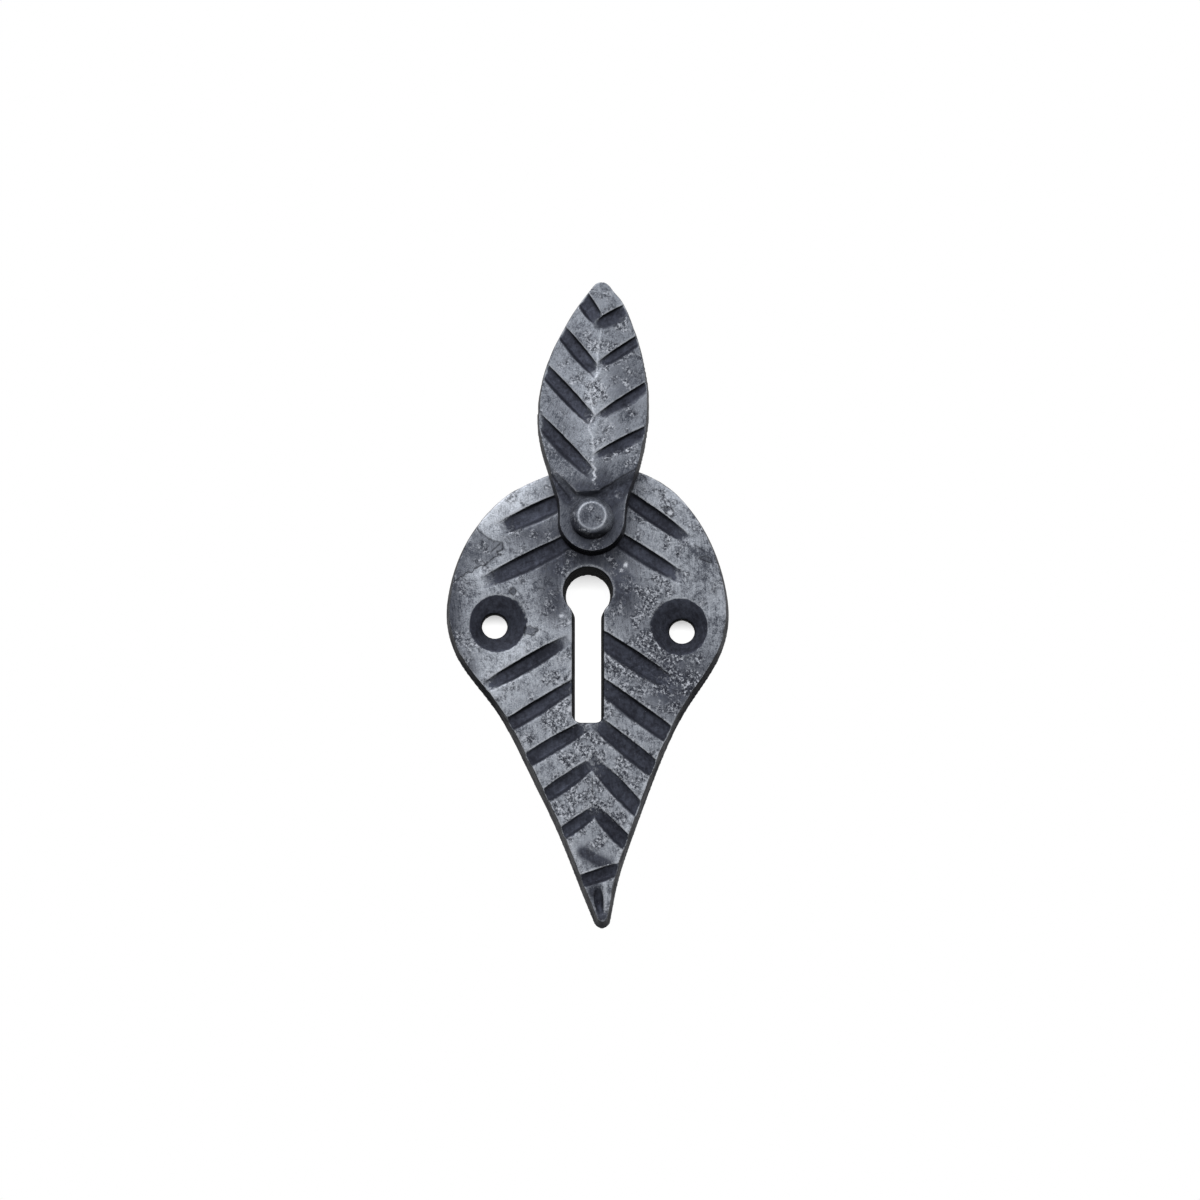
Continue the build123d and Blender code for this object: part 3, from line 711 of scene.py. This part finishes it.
# Painted shade at the step above the hub: dark lines along its edges, and dark bands on its facets
step_left = [(-6.9, 20.2), (-3.2, 15.2)]
step_right = [(8.4, 20.1), (5.6, 18.5), (2.3, 16.2)]
off_steps = np.minimum(off_path(cover, step_left), off_path(cover, step_right))
step_soot = 0.9 * np.exp(-((off_path(cover, [(-6.6, 19.0), (-3.4, 14.8)]) / 0.9) ** 2))
step_soot += 0.9 * np.exp(-((off_path(cover, [(8.0, 18.4), (3.0, 14.7)]) / 1.5) ** 2))
store(
    cover,
    sunk=cover_depth,
    # Painted shade: faces turned down in hollows black, faces turned up darker
    tilt=-cover_facing[:, 2] * np.clip(cover_depth / 0.1, 0, 1),
    facing=-cover_facing[:, 1],
    rim=np.abs(cover_facing[:, 1]) < 0.6,
    dent=0.0,
    soot=spread(cover, 0.05, cover_soot) + step_soot,
    pitting=spread(cover, 0.05, cover_pitting),
    flake=no_flake,
    # Painted shade: dark lines along the step edges
    crack=np.where(cover_facing[:, 1] < -0.4, off_steps, no_crack),
    shine=cover_shine,
)
cover_tones = {**steel_tones, "bare_light": "#b0b6c0"}
cover_steel = waxed_steel("waxed_forged_steel_fine", cover_tones, 24, 1.3)
forge_skin(
    cover,
    cover_steel,
    quad_size=cover_quad,
    hammer_size=4.0,
    hammer_depth=0.06,
    pit_size=0.9,
    pit_depth=0.03,
    chip_size=1.3,
    chip_depth=0.1,
    wobble_size=3.0,
    wobble_depth=0.1,
    seed=8.0,
)
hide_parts("swing_cover")
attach(cover, "cover")

# Pivot rivet
# A stub of round steel, hammered over at the back and worn flat and bright on its head.
rivet_quad = 0.08
rivet = forged_copy("pivot_rivet", rivet_quad)
rivet_places = points_of(rivet)
rivet_facing = facing_of(rivet)
rivet_middle = (rivet_places.max(0) + rivet_places.min(0)) / 2
rivet_out = np.hypot(rivet_places[:, 0] - rivet_middle[0], rivet_places[:, 2] - rivet_middle[2])
rivet_flat_radius = 2.25
rivet_side = np.clip((rivet_out - rivet_flat_radius - 0.1) / 0.6, 0, 1)
# Soot, and painted shade: the rivet's side is darker toward the bottom and the left
rivet_soot = 0.4 + rivet_side * (0.1 - 0.9 * rivet_facing[:, 2] - 0.7 * rivet_facing[:, 0])
rivet_soot += spread(rivet, 0.0, [(-2.9, 12.6, 0.4, 0.4, 1.5)])
rivet_turn = np.arctan2(rivet_places[:, 2] - rivet_middle[2], rivet_places[:, 0] - rivet_middle[0])
rivet_ring = 0.38 + 0.1 * np.cos(2 * rivet_turn + 0.8)
rivet_ring *= np.exp(-(((rivet_out - rivet_flat_radius) / 0.22) ** 2))
rivet_ring += spread(rivet, 0.0, [(-2.4, 12.0, 0.4, 0.7, 0.4)])
rivet_tail = rivet_facing[:, 1] > 0.5
store(
    rivet,
    sunk=0.0,
    # Painted shade: the rivet's side that is turned down is painted black
    tilt=-rivet_facing[:, 2] * rivet_side,
    facing=np.where(rivet_tail, -rivet_facing[:, 1], 1.0),
    rim=0.0,
    dent=0.0,
    soot=rivet_soot,
    pitting=0.0,
    flake=no_flake,
    crack=no_crack,
    shine=np.where(rivet_tail, 0.0, rivet_ring),
)
rivet_tones = {**steel_tones, "bare_dark": "#464a54", "bare_light": "#afb5c0"}
rivet_steel = waxed_steel("hammered_rivet_steel", rivet_tones, 0, 1.5)
forge_skin(
    rivet,
    rivet_steel,
    quad_size=rivet_quad,
    hammer_size=2.5,
    hammer_depth=0.05,
    pit_size=0.7,
    pit_depth=0.01,
    chip_size=1.0,
    chip_depth=0.05,
    wobble_size=2.0,
    wobble_depth=0.0,
    seed=5.0,
)
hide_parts("pivot_rivet")
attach(rivet, "plate")

# Stage
# A pale floor well below the part, a white sky that is dimmer underneath, one broad soft light above, and a
# white card close behind the holes that glows as painted light, its glow fading toward the top of each hole
# as painted shade.
scene = bpy.context.scene
scene.view_settings.view_transform = "Standard"
world = bpy.data.worlds.new("white_studio")
scene.world = world
world.use_nodes = True
sky = world.node_tree
sky.nodes.clear()
toward = add(sky, "ShaderNodeTexCoord")
rise = add(sky, "ShaderNodeSeparateXYZ", {0: toward}, out=2)
light = {"Value": rise, "From Min": -0.6, "From Max": 0.6, "To Min": 0.2, "To Max": 0.9}
light = add(sky, "ShaderNodeMapRange", light)
seen = add(sky, "ShaderNodeLightPath")
light = add(sky, "ShaderNodeMix", {"Factor": seen, "A": light, "B": 1.0}, data_type="FLOAT")
light = add(sky, "ShaderNodeBackground", {"Color": (1, 1, 1, 1), "Strength": light})
add(sky, "ShaderNodeOutputWorld", {"Surface": light})

key = bpy.data.lights.new("soft_light", "AREA")
key.size = 0.5
key.energy = 2.0
lamp = bpy.data.objects.new("soft_light", key)
lamp.location = (-0.12, -0.4, 0.55)
lamp.rotation_mode = "QUATERNION"
lamp.rotation_quaternion = (-lamp.location).to_track_quat("-Z", "Y")
scene.collection.objects.link(lamp)

floor_mesh = bpy.data.meshes.new("floor")
floor_half, floor_height = 2, -0.6
floor_corners = [(-1, -1), (1, -1), (1, 1), (-1, 1)]
floor_points = [(x * floor_half, y * floor_half, floor_height) for x, y in floor_corners]
floor_mesh.from_pydata(floor_points, [], [(0, 1, 2, 3)])
floor = bpy.data.objects.new("floor", floor_mesh)
paper = bpy.data.materials.new("pale_paper")
paper.use_nodes = True
paper.node_tree.nodes["Principled BSDF"].inputs["Base Color"].default_value = linear("#e9e9e7")
paper.node_tree.nodes["Principled BSDF"].inputs["Roughness"].default_value = 0.9
floor_mesh.materials.append(paper)
scene.collection.objects.link(floor)

card_mesh = bpy.data.meshes.new("card")
card_gap = 0.8
full_glow, faded_glow = 0.85, 0.4
card_points = []
card_faces = []
for left, right, heights in (
    (-19, -11, (-9.5, -4.7, -3.0)),
    (11, 19, (-10.4, -5.6, -3.9)),
    (-6.5, 6.5, (-23.5, 1.2, 4.6)),
):
    first = len(card_points)
    for height in heights:
        card_points += [Vector((side, card_gap, height)) * MM for side in (left, right)]
    card_faces += [(first, first + 1, first + 3, first + 2), (first + 2, first + 3, first + 5, first + 4)]
card_mesh.from_pydata(card_points, [], card_faces)
card = bpy.data.objects.new("card", card_mesh)
# Painted shade on the glowing card: its glow is fainter at the top of each hole
store(card, glow=[*[full_glow] * 4, *[faded_glow] * 2] * 3)
white = bpy.data.materials.new("white_card")
white.use_nodes = True
white.node_tree.nodes.clear()
lit = add(white.node_tree, "ShaderNodeBsdfDiffuse", {"Color": (0.6, 0.6, 0.6, 1.0)})
glow = add(white.node_tree, "ShaderNodeAttribute", out=2, attribute_name="glow")
glow = add(white.node_tree, "ShaderNodeEmission", {"Color": (1, 1, 1, 1), "Strength": glow})
lit = add(white.node_tree, "ShaderNodeAddShader", {0: lit, 1: glow})
clear = add(white.node_tree, "ShaderNodeBsdfTransparent")
behind = add(white.node_tree, "ShaderNodeNewGeometry", out=6)
lit = add(white.node_tree, "ShaderNodeMixShader", {0: behind, 1: lit, 2: clear})
add(white.node_tree, "ShaderNodeOutputMaterial", {"Surface": lit})
card_mesh.materials.append(white)
scene.collection.objects.link(card)
card.visible_diffuse = False
card.visible_glossy = False

view = bpy.data.cameras.new("camera")
view.lens = 364
view.sensor_width = 36
view.clip_start = 0.01
eye = bpy.data.objects.new("camera", view)
scene.collection.objects.link(eye)
aim = Vector((0.00198, -0.0046, -0.00157))
below = radians(13)
eye_distance = 2.0
eye.location = aim + eye_distance * Vector((0, -cos(below), -sin(below)))
eye.rotation_mode = "QUATERNION"
eye.rotation_quaternion = (aim - eye.location).to_track_quat("-Z", "Y")
scene.camera = eye

print("triangles", [(piece.name, triangles(piece)) for piece in (plate, cover, rivet)])
